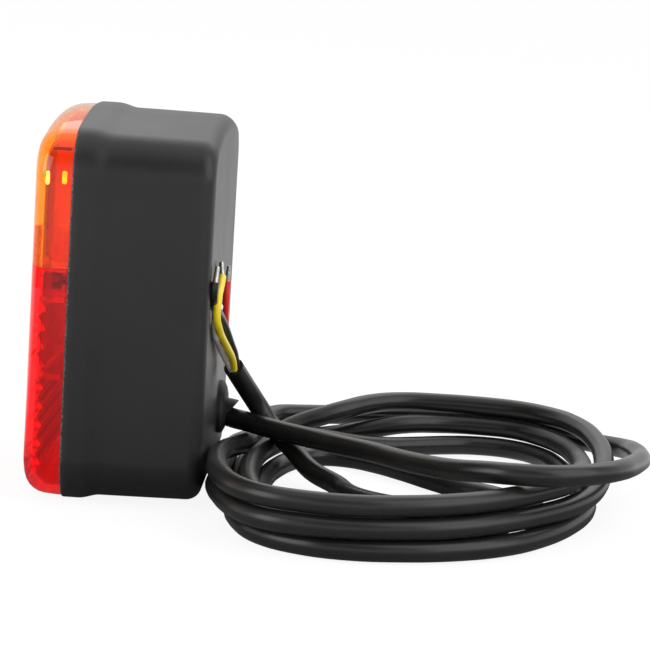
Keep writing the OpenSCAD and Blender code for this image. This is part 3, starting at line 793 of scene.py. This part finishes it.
white_mould = shade("white_moulding", (0.8, 0.8, 0.78), (0.72, 0.71, 0.68), None, roughness=0.35,
                    haze_scale=40, haze_amount=0.5, grain_scale=900, grain=0.05, inner=0.8)
# painted glints: these facets glow strongly where they are seen through the amber lens
amber_glint = shade("amber_glint_plastic", (1.0, 0.8, 0.3), (1.0, 0.25, 0.05), None, roughness=0.15,
                    haze_scale=420, haze_amount=1.0, grain_scale=900, grain=0.4, inner=11.0)
amber_rim = shade("amber_rim_plastic", (0.3, 0.02, 0.01), (0.15, 0.01, 0.008), None, roughness=0.3,
                  haze_scale=200, haze_amount=0.8, grain_scale=900, grain=0.2, inner=0.5)
zinc = shade("zinc_plate", (0.62, 0.63, 0.65), (0.5, 0.5, 0.5), None, roughness=0.3, haze_scale=200,
             haze_amount=0.6, grain_scale=1500, grain=0.08, sockets={"Metallic": 1.0})
brass = shade("contact_brass", (0.8, 0.6, 0.3), (0.6, 0.42, 0.2), None, roughness=0.3, haze_scale=200,
              haze_amount=0.6, grain_scale=1500, grain=0.08, sockets={"Metallic": 1.0})
tinned = shade("tinned_copper", (0.75, 0.73, 0.7), (0.45, 0.4, 0.35), None, roughness=0.28, haze_scale=600,
               haze_amount=0.8, grain_scale=2500, grain=0.3, sockets={"Metallic": 1.0})
bulb_glass = shade("bulb_glass", (0.98, 0.99, 1.0), (0.95, 0.96, 0.97), None, roughness=0.02,
                   haze_scale=80, haze_amount=0.4, grain=0, rough_spread=0.02,
                   sockets={"Transmission Weight": 1.0, "IOR": 1.45})
dark_mould = shade("dark_insulator", (0.02, 0.02, 0.02), (0.04, 0.04, 0.04), None, roughness=0.5)
tungsten = shade("tungsten", (0.25, 0.25, 0.26), (0.12, 0.12, 0.12), None, roughness=0.35,
                 haze_scale=900, sockets={"Metallic": 1.0})
CORE_COATS = {
    "core_yellow": shade("yellow_coat", (1.0, 0.8, 0.01), (1.0, 0.6, 0.01), None, roughness=0.35,
                         haze_scale=160, grain_scale=2000, grain=0.05),
    "core_red": shade("red_coat", (0.85, 0.03, 0.02), (0.7, 0.02, 0.015), None, roughness=0.35,
                      haze_scale=160, grain_scale=2000, grain=0.05),
    "core_black": shade("black_coat", (0.012, 0.012, 0.012), (0.03, 0.03, 0.03), None, roughness=0.35,
                        haze_scale=160, grain_scale=2000, grain=0.05),
    "core_white": shade("white_coat", (0.95, 0.94, 0.92), (0.85, 0.84, 0.8), None, roughness=0.35,
                        haze_scale=160, grain_scale=2000, grain=0.05),
}


def coat(piece, material):
    """Gives a piece its only material."""
    piece.data.materials.clear()
    piece.data.materials.append(material)


def show(piece, body, material, slot, *nodes):
    """Finishes a piece: its material, its body and the nodes that it replaces. The slot is not used."""
    coat(piece, material)
    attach(piece, body)
    if nodes:
        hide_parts(*nodes)


show(housing_body, "lamp", black_mould, "housing_plastic", "housing")
show(amber_lens, "lens", amber_glass, "amber_plastic", "lens_amber")
show(red_lens, "lens", red_glass, "red_plastic", "lens_red")
show(reflex, "lens", reflex_red, "red_plastic", "reflex_reflector")
show(amber_optic, "lens", amber_cut, "amber_plastic")
show(brake_optic, "lens", red_cut, "red_plastic")
show(band_optic, "lens", red_cut, "red_plastic")
show(front_prisms, "lens", red_prism, "red_plastic")
show(amber_glint_facets, "lens", amber_glint, "amber_plastic")
show(amber_rims, "lens", amber_rim, "amber_plastic")
show(grommet, "lamp", rubber, "seal_rubber", "grommet")
show(cable, "lamp", cable_skin, "cable_jacket", "cable_lead", "cable_coil", "cable_tail")
for name, core in cores.items():
    show(core, "lamp", CORE_COATS[name], name, "wire_" + name.split("_")[1])
for name, end in wire_ends.items():
    show(end, "lamp", tinned, "zinc_steel", "wire_tips")

NODE_COATS = {
    "gasket": rubber, "lens_screws": zinc, "bulb_carrier": white_mould, "carrier_screws": zinc,
    "socket_indicator": zinc, "socket_stop": zinc, "socket_insulators": dark_mould,
    "plunger_indicator": brass, "plungers_stop": brass, "indicator_glass": bulb_glass,
    "indicator_cap": brass, "indicator_contact": dark_mould, "indicator_filament": tungsten,
    "stop_glass": bulb_glass, "stop_cap": brass, "stop_contacts": dark_mould,
    "stop_filaments": tungsten, "terminals": brass, "earth_strip": brass,
    "cable_clamp": dark_mould, "clamp_screws": zinc, "inner_yellow": CORE_COATS["core_yellow"],
    "inner_black": CORE_COATS["core_black"], "inner_red": CORE_COATS["core_red"],
    "inner_white": CORE_COATS["core_white"],
}
for node, material in NODE_COATS.items():
    coat(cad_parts[node], material)


# ---------------------------------------------------------------- floor, world and lamps
def is_seen(tree, path):
    """1 for rays that see the pale backdrop itself: from the camera, in a gloss or through a lens."""
    first = maths(tree, "MAXIMUM", path["Is Camera Ray"], path["Is Glossy Ray"])
    return maths(tree, "MAXIMUM", first, path["Is Transmission Ray"])


def make_floor():
    """White paper that glows where it is seen, and is dark in glosses just in front of the lamp."""
    size, middle_y = 24, 6
    clear_selection()
    bpy.ops.mesh.primitive_plane_add(size=size, location=(0, middle_y, -0.0002))
    floor = bpy.context.object
    floor.name = "floor"
    material = bpy.data.materials.new("floor_paper")
    material.use_nodes = True
    tree = material.node_tree
    tree.nodes.remove(tree.nodes["Principled BSDF"])
    plain = tree.nodes.new("ShaderNodeBsdfDiffuse")
    plain.inputs["Color"].default_value = (0.85, 0.85, 0.85, 1)
    glow = tree.nodes.new("ShaderNodeEmission")
    mix = tree.nodes.new("ShaderNodeMixShader")
    away = coordinate(tree, tree.nodes.new("ShaderNodeTexCoord").outputs["Object"], "Y")
    front = ranged(tree, away, -6.6, -6.03, 0.8, 0.05)
    behind = ranged(tree, away, -6.0, -5.9, 0.0, 0.95)
    path = tree.nodes.new("ShaderNodeLightPath").outputs
    mirrored = maths(tree, "SUBTRACT", path["Is Glossy Ray"], path["Is Transmission Ray"], clamp=True)
    strength = blended(tree, mirrored, 1.05, maths(tree, "MAXIMUM", front, behind))
    feed(tree, glow.inputs["Strength"], strength)
    feed(tree, mix.inputs["Fac"], maths(tree, "MULTIPLY", is_seen(tree, path), 0.86))
    tree.links.new(plain.outputs["BSDF"], mix.inputs[1])
    tree.links.new(glow.outputs["Emission"], mix.inputs[2])
    tree.links.new(mix.outputs["Shader"], tree.nodes["Material Output"].inputs["Surface"])
    coat(floor, material)


def make_world():
    """A white room. In glosses it is dim between the horizon and the ceiling, but not behind the lamp."""
    world = bpy.data.worlds.new("studio")
    bpy.context.scene.world = world
    world.use_nodes = True
    tree = world.node_tree
    way = tree.nodes.new("ShaderNodeTexCoord").outputs["Generated"]
    up = coordinate(tree, way, "Z")
    low_room = ranged(tree, up, 0.1, 0.6, 0.85, 0.16)
    room = blended(tree, ranged(tree, up, 0.7, 1.0), low_room, 1.0)
    paper = ranged(tree, coordinate(tree, way, "Y"), 0.42, 0.5)
    path = tree.nodes.new("ShaderNodeLightPath").outputs
    lit = blended(tree, path["Is Glossy Ray"], 0.75, blended(tree, paper, room, 0.7))
    open_view = maths(tree, "MAXIMUM", path["Is Camera Ray"], path["Is Transmission Ray"])
    back = tree.nodes["Background"]
    feed(tree, back.inputs["Strength"], blended(tree, open_view, lit, 1.0))
    back.inputs["Color"].default_value = (1, 1, 1, 1)


def lamp(name, place, aim, size, watts):
    """A soft rectangular lamp that points at a spot."""
    data = bpy.data.lights.new(name, "AREA")
    data.shape = "RECTANGLE"
    data.size, data.size_y = size
    data.energy = watts
    light = bpy.data.objects.new(name, data)
    bpy.context.scene.collection.objects.link(light)
    light.location = place
    light.rotation_euler = (Vector(aim) - Vector(place)).to_track_quat("-Z", "Y").to_euler()


make_floor()
make_world()
lamp("back_softbox", (0.3, 1.1, 1.2), (0.05, 0, 0.05), (1.6, 1.2), 6)
lamp("left_fill", (-1.1, -0.7, 0.5), (0, 0, 0.05), (0.9, 0.9), 6)
lamp("right_fill", (1.2, -0.5, 0.9), (0.04, 0, 0.05), (1.4, 1.4), 9)

bpy.context.scene.view_settings.view_transform = "Standard"
